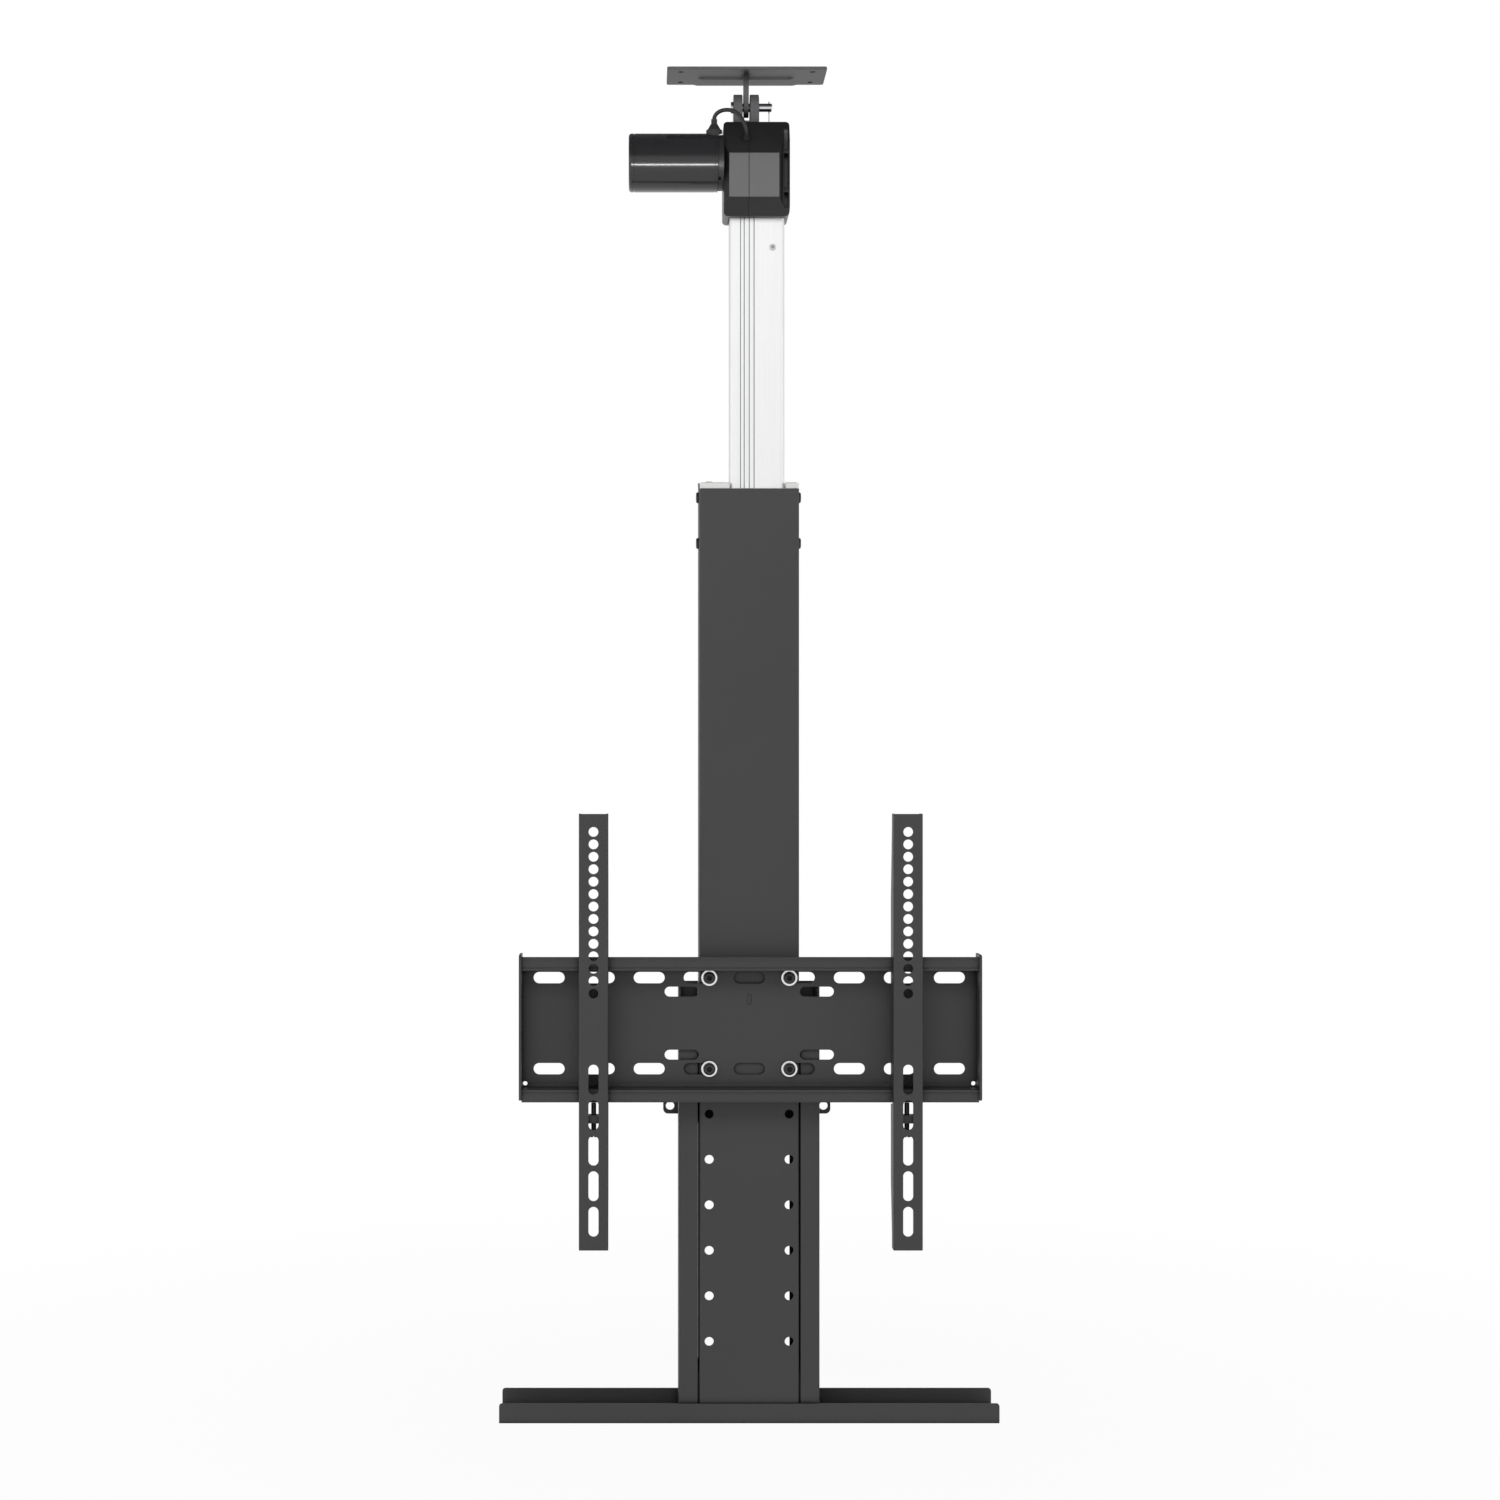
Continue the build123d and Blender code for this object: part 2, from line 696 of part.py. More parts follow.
def arm():
    top = arm_bottom + arm_length
    half = arm_width / 2
    shell = block(-half, half, arm_front, arm_back, arm_bottom, top)
    shell = fillet(shell.edges().filter_by(Axis.Z).group_by(Axis.Y)[0], arm_sheet * 0.9)
    shell -= block(-half + arm_sheet, half - arm_sheet, arm_front + arm_sheet, arm_back + 1,
                   arm_bottom - 1, top + 1)
    low_corner = [(arm_back + 1, arm_bottom - 1), (arm_back + 1, arm_bottom + arm_low_taper),
                  (arm_back - 12, arm_bottom + 12), (arm_back - 12, arm_bottom - 1)]
    high_corner = [(arm_back + 1, top + 1), (arm_back + 1, top - arm_high_taper),
                   (arm_back - 12, top - 12), (arm_back - 12, top + 1)]
    shell -= side_profile(low_corner, -half - 1, half + 1)
    shell -= side_profile(high_corner, -half - 1, half + 1)
    shell -= hook_notches(half)
    first_hole = top - 17.7
    for index in range(arm_hole_count):
        z = first_hole - index * arm_hole_pitch
        shell -= along_y(0, arm_front - 1, arm_front + arm_sheet + 1, z, arm_hole_radius)
    first_slot = arm_bottom + 28.3
    for index in range(arm_slot_count):
        z = first_slot + index * arm_slot_pitch
        shell -= slot_along_z(0, z, arm_front - 1, arm_front + arm_sheet + 1, arm_slot_length, arm_slot_width)
    lug = lock_lug_height()
    nut_bar = block(-half + arm_sheet, half - arm_sheet, lip_front - 5, lip_back + 5, lug - 4, lug + 4)
    nut_bar -= upright(0, (lip_front + lip_back) / 2, lug - 5, lug + 5, lock_screw_radius + shaft_gap)
    return shell + nut_bar


def lock_lug_height():
    return bracket_bottom - 16.0


def hook_notches(half):
    clear = 0.6
    top_slot = block(-half - 1, half + 1, lip_front - clear, arm_back + 1,
                     top_shelf - bracket_sheet - clear, top_shelf + clear)
    top_slot += block(-half - 1, half + 1, lip_front - clear, lip_back + clear,
                      top_shelf - bracket_sheet - clear, bracket_top - 2.0 + clear)
    low_slot = block(-half - 1, half + 1, lip_front - clear, arm_back + 1,
                     bracket_bottom - 3.0, bottom_shelf + bracket_sheet + clear)
    return top_slot + low_slot


def lock_screw():
    y = (lip_front + lip_back) / 2
    tip = bracket_bottom - 0.3
    bottom = lock_lug_height() - 14.0
    shank = upright(0, y, bottom, tip, lock_screw_radius)
    head = upright(0, y, bottom - 4.0, bottom, lock_screw_radius + 2.0)
    head = fillet(head.edges(), 0.8)
    slot = block(-0.6, 0.6, y - 6, y + 6, bottom - 5.0, bottom - 2.8)
    return shank + head - slot


# Actuator

def actuator_profile():
    height = profile_top - profile_bottom
    body = extrude(profile_outline(0), height)
    pocket_left = profile_bore_radius + profile_wall
    pocket_right = profile_right - profile_wall
    pocket_half = profile_depth / 2 - profile_wall
    pocket = block(actuator_x + pocket_left, actuator_x + pocket_right, -pocket_half, pocket_half,
                   -1, height + 1)
    body -= pocket
    body -= upright(actuator_x, 0, -1, height + 1, profile_bore_radius)
    for offset in groove_offsets:
        x = actuator_x + offset
        for side in (-1, 1):
            edge = side * profile_depth / 2
            body -= block(x - groove_width / 2, x + groove_width / 2,
                          edge - groove_depth, edge + groove_depth, -1, height + 1)
    body = Pos(0, 0, profile_bottom) * body
    screw_x, screw_z = profile_screw_place()
    return body - along_y(screw_x, -profile_depth / 2 - 1, -profile_depth / 2 + profile_wall + 1, screw_z,
                          profile_screw_radius + 0.1)


def profile_screw_place():
    return actuator_x + 26.0, gearbox_bottom - 30.0


def profile_screw():
    x, z = profile_screw_place()
    return button_screw_y(x, -profile_depth / 2, -1, z, profile_wall + 3.4, profile_screw_radius,
                          profile_head_radius, profile_head_height)


def limit_switch_strip():
    left = actuator_x + profile_bore_radius + profile_wall + slide_gap
    right = actuator_x + profile_right - profile_wall - slide_gap
    y0 = -profile_depth / 2 + profile_wall + 6.2
    board = block(left, right, y0, y0 + 1.6, profile_bottom + 30, profile_top - 40)
    middle = (left + right) / 2
    for z in (profile_bottom + 60, profile_top - 90):
        board += block(middle - 5, middle + 5, y0 + 1.6, y0 + 9.0, z, z + 20)
    return board


def profile_end_cap():
    plug = Pos(0, 0, profile_bottom - 8) * extrude(profile_outline(0), 8)
    plug = fillet(plug.edges().group_by(Axis.Z)[0], 1.5)
    spigot = upright(actuator_x, 0, profile_bottom, profile_bottom + 22, profile_bore_radius - shaft_gap)
    return plug + spigot - upright(actuator_x, 0, profile_bottom - 9, profile_bottom + 23,
                                   rod_radius + slide_gap)


def gearbox_form():
    back = gearbox_back
    front = -gearbox_front
    side = [(back, gearbox_bottom), (back, gearbox_top), (-top_edge_setback, gearbox_top),
            (front, panel_top), (front, gearbox_bottom + panel_low), (-bottom_edge_setback, gearbox_bottom)]
    body = side_profile(side, gearbox_left_x, gearbox_right_x)
    band_front = front + band_setback
    plan = [(gearbox_left_x, back), (gearbox_left_x, front + 6), (gearbox_left_x + 5, front),
            (gearbox_right_x - band_width - 4, front), (gearbox_right_x - band_width, band_front),
            (gearbox_right_x, band_front), (gearbox_right_x, back)]
    body &= plan_profile(plan, gearbox_bottom - 1, gearbox_top + 1)
    return fillet(body.edges().filter_by(Axis.Y), 4.0)


def gearbox_cavity():
    cavity = upright(actuator_x, 0, worm_height - wheel_width / 2 - 1.5, worm_height + wheel_width / 2 + 1.5,
                     wheel_radius + 1.0)
    cavity += upright(actuator_x, 0, gearbox_bottom - 1, gearbox_top - 12, spindle_radius + 1.5)
    cavity += upright(actuator_x, 0, lower_bearing_bottom(), lower_bearing_bottom() + 12, 16.0 + shaft_gap)
    seat = Pos(0, 0, gearbox_bottom - 1) * extrude(profile_outline(0.1), profile_seat + 1)
    return cavity + seat


def lower_bearing_bottom():
    return worm_height - wheel_width / 2 - 1.5 - 12.0


def gearbox_shell(side):
    body = gearbox_form() - gearbox_cavity()
    seam = actuator_x + seam_shift
    far = gearbox_left + gearbox_right
    body &= block(seam + side * gearbox_seam, seam + side * far, -far, far,
                  gearbox_bottom - 1, gearbox_top + 1)
    if side > 0:
        body -= band_pockets()
    for y, z in gearbox_screw_places():
        body -= along_x(actuator_x - far, actuator_x + far, y, z, case_screw_radius + screw_gap)
        body -= along_x(gearbox_right_x - 4.0, gearbox_right_x + 1, y, z, case_head_radius + screw_gap)
    return body


def band_pockets():
    pockets = []
    band_front = -gearbox_front + band_setback
    for low, high in zip(rib_rises, rib_rises[1:]):
        pockets.append(block(gearbox_right_x - band_width + 1.0, gearbox_right_x - band_wall,
                             band_front - band_setback, band_front + pocket_depth,
                             gearbox_bottom + low + rib_thickness / 2,
                             gearbox_bottom + high - rib_thickness / 2))
    return pockets


def gearbox_screw_places():
    return [(17.0, gearbox_bottom + 12.0), (17.0, gearbox_top - 9.0), (-20.0, gearbox_top - 8.0),
            (-21.0, gearbox_bottom + 13.0)]


def gearbox_screws():
    screws = []
    for y, z in gearbox_screw_places():
        screw = button_screw_x(gearbox_right_x - 4.0, 1, y, z, 45.0, case_screw_radius,
                               case_head_radius, 2.4)
        screws.append(screw)
    return screws


def spindle_bearing():
    z0 = lower_bearing_bottom() + 0.2
    ring = upright(actuator_x, 0, z0, z0 + 11.4, 16.0)
    bore = upright(actuator_x, 0, z0 - 1, z0 + 13, spindle_radius + shaft_gap)
    race = upright(actuator_x, 0, z0 + 10.4, z0 + 13, 13.0) - upright(actuator_x, 0, z0, z0 + 13, 10.0)
    return ring - bore - race


def motor_can():
    y = -worm_offset
    start = gearbox_left_x - 6.0
    body = along_x(start - motor_length + 6.0, start, y, worm_height, motor_radius)
    body = fillet(body.edges().sort_by(Axis.X)[0], 3.0)
    vent = along_x(start - motor_length + 5.0, start - motor_length + 6.6, y, worm_height, 9.0)
    body -= vent
    for x in (start - motor_length + 11.0, start - 3.0):
        ring = along_x(x, x + 1.0, y, worm_height, motor_radius + 1)
        ring -= along_x(x - 1, x + 2, y, worm_height, motor_radius - motor_groove_depth)
        body -= ring
    return body


def motor_flange():
    y = -worm_offset
    x1 = gearbox_left_x
    ring = along_x(x1 - 6.0, x1, y, worm_height, motor_radius - 1.5)
    for angle in (225, 270, 315):
        centre_y = y + (motor_radius - 3) * math.cos(math.radians(angle))
        centre_z = worm_height + (motor_radius - 3) * math.sin(math.radians(angle))
        ring -= along_x(x1 - 6.0, x1 - 3.0, centre_y, centre_z, 2.4)
    return ring


def worm_wheel():
    bottom = worm_height - wheel_width / 2
    disc = upright(actuator_x, 0, bottom, bottom + wheel_width, wheel_radius)
    tooth_gap = math.pi * wheel_radius / wheel_teeth
    for index in range(wheel_teeth):
        cut = Pos(wheel_radius, 0, worm_height) * Box(3.6, tooth_gap, wheel_width + 2)
        disc -= Pos(actuator_x, 0, 0) * Rot(0, 0, index * 360 / wheel_teeth) * cut
    bore = upright(actuator_x, 0, bottom - 1, bottom + wheel_width + 1, spindle_radius + shaft_gap)
    return disc - bore


def spindle():
    bottom = profile_bottom + 40.0
    screw = upright(actuator_x, 0, bottom, gearbox_top - 16.0, spindle_radius)
    return chamfer(screw.edges(), 0.8)


def clevis():
    width = clevis_half
    base = block(actuator_x - width, actuator_x + width, -clevis_depth / 2, clevis_depth / 2,
                 gearbox_top, gearbox_top + clevis_base)
    fork = block(actuator_x - width, actuator_x + width, -clevis_depth / 2, clevis_depth / 2,
                 gearbox_top, pin_height)
    fork += along_x(actuator_x - width, actuator_x + width, 0, pin_height, clevis_depth / 2)
    fork -= block(actuator_x - clevis_gap / 2, actuator_x + clevis_gap / 2, -clevis_depth, clevis_depth,
                  gearbox_top + clevis_base, clevis_top + 1)
    fork -= along_x(actuator_x - 30, actuator_x + 30, 0, pin_height, pin_radius + shaft_gap)
    return base + fork


def clevis_pin():
    left = actuator_x - clevis_half - 2.6
    right = actuator_x + clevis_half + 13.5
    pin = along_x(left, right, 0, pin_height, pin_radius)
    pin = chamfer(pin.edges().sort_by(Axis.X)[-1], 0.8)
    pin += along_x(left, actuator_x - clevis_half - 0.1, 0, pin_height, pin_radius + 1.6)
    return pin - upright(pin_ring_x(), 0, pin_height - 10, pin_height + 10, 1.2)


def pin_ring_x():
    return actuator_x + clevis_half + 10.5


def pin_ring():
    x = pin_ring_x()
    wire = 0.7
    half = pin_radius + 1.4
    leg = upright(x, 0, gearbox_top, pin_height + half, wire - 0.15)
    side = Location((x, 0, pin_height), (0, 90, 0)) * Torus(half, wire)
    front = block(x - 2, x + 2, 0, 12, pin_height - 12, pin_height + 12)
    return leg + (side & front)


def top_plate():
    half = plate_length / 2
    depth = plate_depth / 2
    tab = back_tab_length / 2
    outline = [(actuator_x - half, -depth), (actuator_x + half, -depth), (actuator_x + half, depth),
               (actuator_x + tab + back_tab_depth, depth), (actuator_x + tab, depth + back_tab_depth),
               (actuator_x - tab, depth + back_tab_depth), (actuator_x - tab - back_tab_depth, depth),
               (actuator_x - half, depth)]
    plate = plan_profile(outline, plate_under, plate_top)
    upright_edges = plate.edges().filter_by(Axis.Z)
    corners = upright_edges.group_by(Axis.X)[0] + upright_edges.group_by(Axis.X)[-1]
    plate = fillet(corners, 3.0) - top_trough()
    for sx in (-1, 1):
        for sy in (-1, 1):
            plate -= upright(actuator_x + sx * plate_hole_spacing_x / 2, sy * plate_hole_spacing_y / 2,
                             plate_under - 1, plate_top + 1, plate_hole_radius)
    x0 = actuator_x - tongue_thickness / 2
    x1 = actuator_x + tongue_thickness / 2
    tongue = block(x0, x1, -tongue_radius, tongue_radius, pin_height, plate_under + trough_depth + 0.2)
    tongue += along_x(x0, x1, 0, pin_height, tongue_radius)
    tongue -= along_x(x0 - 1, x1 + 1, 0, pin_height, pin_radius + shaft_gap)
    return plate + tongue


def top_trough():
    middle_y = (trough_back - trough_front) / 2
    width = trough_back + trough_front
    mouth = Pos(actuator_x, middle_y, plate_under) * RectangleRounded(trough_length, width, 8.0)
    floor = Pos(actuator_x, middle_y, plate_under + trough_depth) * RectangleRounded(
        trough_length - 2 * trough_slope, width - 2 * trough_slope, 4.0)
    return loft([mouth, floor])


# Motor lead from the motor to the gearbox front

def gland_point(reach):
    fall = gearbox_top - panel_top
    run = gearbox_front - top_edge_setback
    size = math.hypot(fall, run)
    share = gland_drop / fall
    y = -top_edge_setback - share * run - reach * fall / size
    z = gearbox_top - gland_drop + reach * run / size
    return (actuator_x - 1.0, y, z)


def lead_route():
    start = (-35.0, -30.0, worm_height + motor_radius + 13.0)
    return [start, (-35.0, -30.0, start[2] + 6.0), (-24.0, -38.0, start[2] + 12.0),
            (-11.0, -46.0, start[2] + 5.0), gland_point(gland_length + 10.0), gland_point(gland_length)]


def motor_lead():
    points = lead_route()
    radii = []
    for before, corner, after in zip(points, points[1:], points[2:]):
        first = Vector(*corner) - Vector(*before)
        second = Vector(*after) - Vector(*corner)
        turn = math.radians(first.get_angle(second))
        radii.append(0.45 * min(first.length, second.length) / math.tan(turn / 2))
    print("lead radii", [round(radius, 1) for radius in radii])
    path = FilletPolyline(points, radius=radii)
    section = Plane(origin=path @ 0, z_dir=path % 0) * Circle(lead_radius)
    return sweep(section, path=path)


def lead_grommet():
    x, y, top = lead_route()[0]
    seat = worm_height + math.sqrt(motor_radius ** 2 - (y + worm_offset) ** 2)
    collar = upright(x, y, seat - 4.0, seat + 3.0, 8.0)
    cone = Pos(x, y, seat + 6.0) * Cone(7.0, 3.6, 6.0)
    neck = upright(x, y, seat + 9.0, top, 3.0)
    body = collar + cone + neck
    return body - along_x(x - 30, x + 30, -worm_offset, worm_height, motor_radius + 0.02)


def lead_gland():
    foot = Vector(*gland_point(0.0))
    tip = Vector(*gland_point(gland_length))
    plane = Plane(origin=foot, z_dir=tip - foot)
    return extrude(plane * Circle(gland_radius), gland_length, taper=8)


nodes = {
    "foot_channel": foot_channel(),
    "foot_screws": foot_screws(),
    "foot_nuts": foot_nuts(),
    "guide_rail_right": guide_rail(),
    "guide_rail_left": mirrored(guide_rail()),
    "rear_strap": rear_strap(),
    "strap_screws": strap_screws(),
    "rail_glide_right": rail_glide(),
    "rail_glide_left": mirrored(rail_glide()),
    "rail_glide_screws": rail_glide_screws(),
    "stop_buffers": stop_buffers(),
    "column": column(),
    "column_glide_right": column_glide(),
    "column_glide_left": mirrored(column_glide()),
    "column_glide_screws": column_glide_screws(),
    "top_guide": top_guide(),
    "top_guide_screws": top_guide_screws(),
    "rod_anchor": rod_anchor(),
    "anchor_pin": anchor_pin(),
    "anchor_clip": anchor_clip(),
    "rod_eye": rod_eye(),
    "push_rod": push_rod(),
    "drive_nut": drive_nut(),
    "bracket_plate": bracket_plate(),
    "bracket_bolts": bracket_bolts(),
    "bracket_washers": bracket_washers(),
    "bracket_nuts": bracket_nuts(),
    "arm_left": Pos(-arm_spacing / 2, 0, 0) * arm(),
    "arm_right": Pos(arm_spacing / 2, 0, 0) * arm(),
    "lock_screw_left": Pos(-arm_spacing / 2, 0, 0) * lock_screw(),
    "lock_screw_right": Pos(arm_spacing / 2, 0, 0) * lock_screw(),
    "actuator_profile": actuator_profile(),
    "profile_screw": profile_screw(),
    "profile_end_cap": profile_end_cap(),
    "limit_switch_strip": limit_switch_strip(),
    "gearbox_shell_left": gearbox_shell(-1),
    "gearbox_shell_right": gearbox_shell(1),
    "gearbox_screws": gearbox_screws(),
    "spindle_bearing": spindle_bearing(),
    "spindle": spindle(),
    "worm_wheel": worm_wheel(),
    "motor_can": motor_can(),
    "motor_flange": motor_flange(),
    "motor_lead": motor_lead(),
    "lead_grommet": lead_grommet(),
    "lead_gland": lead_gland(),
    "clevis": clevis(),
    "clevis_pin": clevis_pin(),
    "pin_ring": pin_ring(),
    "top_plate": top_plate(),
}

os.makedirs("parts", exist_ok=True)
for name, shape in nodes.items():
    solids = shape if isinstance(shape, list) else [shape]
    members = [solid for item in solids for solid in item.solids()]
    export_step(Compound(children=members) if len(members) > 1 else members[0], "parts/" + name + ".step")
    print(name, len(members))
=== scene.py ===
import json
import math
import bpy
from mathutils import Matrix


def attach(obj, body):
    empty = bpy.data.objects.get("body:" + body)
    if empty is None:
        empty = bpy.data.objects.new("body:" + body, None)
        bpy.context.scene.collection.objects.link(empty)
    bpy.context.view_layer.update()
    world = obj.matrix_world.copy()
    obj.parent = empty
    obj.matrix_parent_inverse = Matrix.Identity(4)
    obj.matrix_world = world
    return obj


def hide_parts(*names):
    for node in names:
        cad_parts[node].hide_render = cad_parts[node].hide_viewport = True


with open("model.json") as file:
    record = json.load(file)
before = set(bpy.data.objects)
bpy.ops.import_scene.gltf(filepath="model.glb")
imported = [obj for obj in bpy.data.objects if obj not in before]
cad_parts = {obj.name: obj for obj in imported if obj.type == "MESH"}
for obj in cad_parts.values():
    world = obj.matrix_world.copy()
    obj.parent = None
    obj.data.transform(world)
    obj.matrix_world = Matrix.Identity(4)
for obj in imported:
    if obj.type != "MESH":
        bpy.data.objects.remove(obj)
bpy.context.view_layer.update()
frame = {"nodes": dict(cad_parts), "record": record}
print("frame loaded:", len(frame["nodes"]), "nodes")

# camera: level, a little left of the middle, shifted back onto the lift
cameraSetup = {
    "place": (-0.108, -2.819, 0.673),
    "imageWidth": 1.5,        # metres across the picture in the plane of the column's front
    "distance": 2.787,        # from the camera to that plane
    "sensor": 36.0,
    "aimX": 0.0008,
    "aimZ": 0.673,
    "farClip": 60.0,
}


def addCamera(setup):
    bpy.ops.object.select_all(action="DESELECT")
    bpy.ops.object.camera_add(location=setup["place"], rotation=(math.pi / 2, 0, 0))
    camera = bpy.context.object
    camera.name = "photoCamera"
    camera.data.sensor_width = setup["sensor"]
    camera.data.lens = setup["sensor"] * setup["distance"] / setup["imageWidth"]
    camera.data.shift_x = (setup["aimX"] - setup["place"][0]) / setup["imageWidth"]
    camera.data.shift_y = (setup["aimZ"] - setup["place"][2]) / setup["imageWidth"]
    camera.data.clip_end = setup["farClip"]
    bpy.context.scene.camera = camera


addCamera(cameraSetup)
print("camera set")

# materials: distances in metres, noise scales per metre

# corner shade is painted: ambient occlusion darkens the base colour in corners, creases and gaps,
# and each look sets how far its deepest corners are darkened
cornerLook = {
    "samples": 8,
    "closed": 0.36,           # how open a corner is where its painted shade is deepest
    "open": 0.97,             # and where the shade ends
    "roughness": 0.95,        # of a closed corner, which mirrors nothing
}

bevelSamples = 6

powderLook = {
    "grainScale": 1500.0, "grainDetail": 2.0,
    "cloudScale": 9.0, "cloudDetail": 4.0,
    "darker": 0.9, "lighter": 1.12,
    "roughSpread": 0.06,
    "relief": 0.00006, "reliefStrength": 0.5,
    "edge": 0.0006,
    "cornerReach": 0.009, "paintedShadeDeep": 0.3,
}

screwLook = dict(powderLook, edge=0.0003)

plasticLook = {
    "grainScale": 2200.0, "grainDetail": 2.0,
    "cloudScale": 14.0, "cloudDetail": 3.0,
    "darker": 0.92, "lighter": 1.1,
    "roughSpread": 0.07,
    "relief": 0.00005, "reliefStrength": 0.5,
    "edge": 0.0008,
    "cornerReach": 0.005, "paintedShadeDeep": 0.35,
}

glossLook = {
    "roughness": 0.16, "roughLow": 0.14, "roughHigh": 0.19,
    "specular": 0.42, "coat": 0.3, "coatRoughness": 0.06,
    "peelScale": 260.0, "peelDetail": 2.0,
    "relief": 0.000008, "reliefStrength": 0.2,
    "edge": 0.0006,
}

metalLook = {
    "streakScale": 900.0, "streakDetail": 4.0,
    "darker": 0.93, "lighter": 1.05,
    "smoother": 0.06, "rougher": 0.08,
    "relief": 0.00002, "reliefStrength": 0.35,
    "edge": 0.0004,
    "cornerReach": 0.0016, "paintedShadeDeep": 0.12,
}

# the zinc plate's corners are darkened by painted shade only a little
zincLook = dict(metalLook, paintedShadeDeep=0.7)


def newMaterial(name, colour, roughness, metallic=0.0):
    material = bpy.data.materials.new(name)
    material.use_nodes = True
    shader = material.node_tree.nodes["Principled BSDF"]
    shader.inputs["Base Color"].default_value = (*colour, 1.0)
    shader.inputs["Roughness"].default_value = roughness
    shader.inputs["Metallic"].default_value = metallic
    return material, material.node_tree, shader


def scaled(colour, share):
    return tuple(min(1.0, channel * share) for channel in colour)


def objectPoint(tree, stretch=(1.0, 1.0, 1.0)):
    coordinates = tree.nodes.new("ShaderNodeTexCoord")
    mapping = tree.nodes.new("ShaderNodeMapping")
    mapping.inputs["Scale"].default_value = stretch
    tree.links.new(coordinates.outputs["Object"], mapping.inputs["Vector"])
    return mapping.outputs["Vector"]


def noiseOn(tree, point, scale, detail):
    noise = tree.nodes.new("ShaderNodeTexNoise")
    noise.inputs["Scale"].default_value = scale
    noise.inputs["Detail"].default_value = detail
    tree.links.new(point, noise.inputs["Vector"])
    return noise.outputs["Fac"]


def rampOn(tree, value, low, high):
    spread = tree.nodes.new("ShaderNodeMapRange")
    spread.inputs["To Min"].default_value = low
    spread.inputs["To Max"].default_value = high
    tree.links.new(value, spread.inputs["Value"])
    return spread.outputs["Result"]


def colourMix(tree, value, first, second):
    mix = tree.nodes.new("ShaderNodeMix")
    mix.data_type = "RGBA"
    mix.inputs["A"].default_value = (*first, 1.0)
    mix.inputs["B"].default_value = (*second, 1.0)
    tree.links.new(value, mix.inputs["Factor"])
    return mix.outputs["Result"]


# how closed in a point is, from ambient occlusion; it paints shade into the base colour and turns
# corners matt
def cornerShade(tree, reach):
    corner = tree.nodes.new("ShaderNodeAmbientOcclusion")
    corner.inputs["Distance"].default_value = reach
    corner.samples = cornerLook["samples"]
    spread = tree.nodes.new("ShaderNodeMapRange")
    spread.inputs["From Min"].default_value = cornerLook["closed"]
    spread.inputs["From Max"].default_value = cornerLook["open"]
    tree.links.new(corner.outputs["AO"], spread.inputs["Value"])
    return spread.outputs["Result"]


# painted shade: the colour is multiplied down where corners close in
def paintedShadeColour(tree, colour, shade, deep):
    multiply = tree.nodes.new("ShaderNodeMix")
    multiply.data_type = "RGBA"
    multiply.blend_type = "MULTIPLY"
    multiply.inputs["Factor"].default_value = 1.0
    tree.links.new(colour, multiply.inputs["A"])
    tree.links.new(rampOn(tree, shade, deep, 1.0), multiply.inputs["B"])
    return multiply.outputs["Result"]


def roughOn(tree, shader, grain, low, high, shade):
    # open faces follow the grain, corners go matt
    plain = rampOn(tree, grain, low, high)
    closed = rampOn(tree, shade, cornerLook["roughness"], 0.0)
    most = tree.nodes.new("ShaderNodeMath")
    most.operation = "MAXIMUM"
    tree.links.new(plain, most.inputs[0])
    tree.links.new(closed, most.inputs[1])
    tree.links.new(most.outputs["Value"], shader.inputs["Roughness"])


def bumpOn(tree, shader, height, look):
    bump = tree.nodes.new("ShaderNodeBump")
    bump.inputs["Distance"].default_value = look["relief"]
    bump.inputs["Strength"].default_value = look["reliefStrength"]
    tree.links.new(height, bump.inputs["Height"])
    rounded = tree.nodes.new("ShaderNodeBevel")
    rounded.inputs["Radius"].default_value = look["edge"]
    rounded.samples = bevelSamples
    tree.links.new(rounded.outputs["Normal"], bump.inputs["Normal"])
    tree.links.new(bump.outputs["Normal"], shader.inputs["Normal"])


def grainedFinish(look, name, colour, roughness):
    material, tree, shader = newMaterial(name, colour, roughness)
    point = objectPoint(tree)
    grain = noiseOn(tree, point, look["grainScale"], look["grainDetail"])
    cloud = noiseOn(tree, point, look["cloudScale"], look["cloudDetail"])
    shade = cornerShade(tree, look["cornerReach"])
    coat = colourMix(tree, cloud, scaled(colour, look["darker"]), scaled(colour, look["lighter"]))
    # painted shade in the coat's corners, creases and gaps
    coat = paintedShadeColour(tree, coat, shade, look["paintedShadeDeep"])
    tree.links.new(coat, shader.inputs["Base Color"])
    low = roughness - look["roughSpread"]
    high = roughness + look["roughSpread"]
    roughOn(tree, shader, grain, low, high, shade)
    bumpOn(tree, shader, grain, look)
    return material


def glossPaint(look, name, colour):
    material, tree, shader = newMaterial(name, colour, look["roughness"])
    shader.inputs["Specular IOR Level"].default_value = look["specular"]
    shader.inputs["Coat Weight"].default_value = look["coat"]
    shader.inputs["Coat Roughness"].default_value = look["coatRoughness"]
    peel = noiseOn(tree, objectPoint(tree), look["peelScale"], look["peelDetail"])
    tree.links.new(rampOn(tree, peel, look["roughLow"], look["roughHigh"]),
                   shader.inputs["Roughness"])
    bumpOn(tree, shader, peel, look)
    return material


def drawnMetal(look, name, colour, roughness, stretch, metallic=1.0):
    material, tree, shader = newMaterial(name, colour, roughness, metallic)
    streak = noiseOn(tree, objectPoint(tree, stretch), look["streakScale"], look["streakDetail"])
    shade = cornerShade(tree, look["cornerReach"])
    metal = colourMix(tree, streak, scaled(colour, look["darker"]), scaled(colour, look["lighter"]))
    # painted shade in the metal's corners, creases and gaps
    metal = paintedShadeColour(tree, metal, shade, look["paintedShadeDeep"])
    tree.links.new(metal, shader.inputs["Base Color"])
    tree.links.new(rampOn(tree, streak, roughness - look["smoother"], roughness + look["rougher"]),
                   shader.inputs["Roughness"])
    bumpOn(tree, shader, streak, look)
    return material


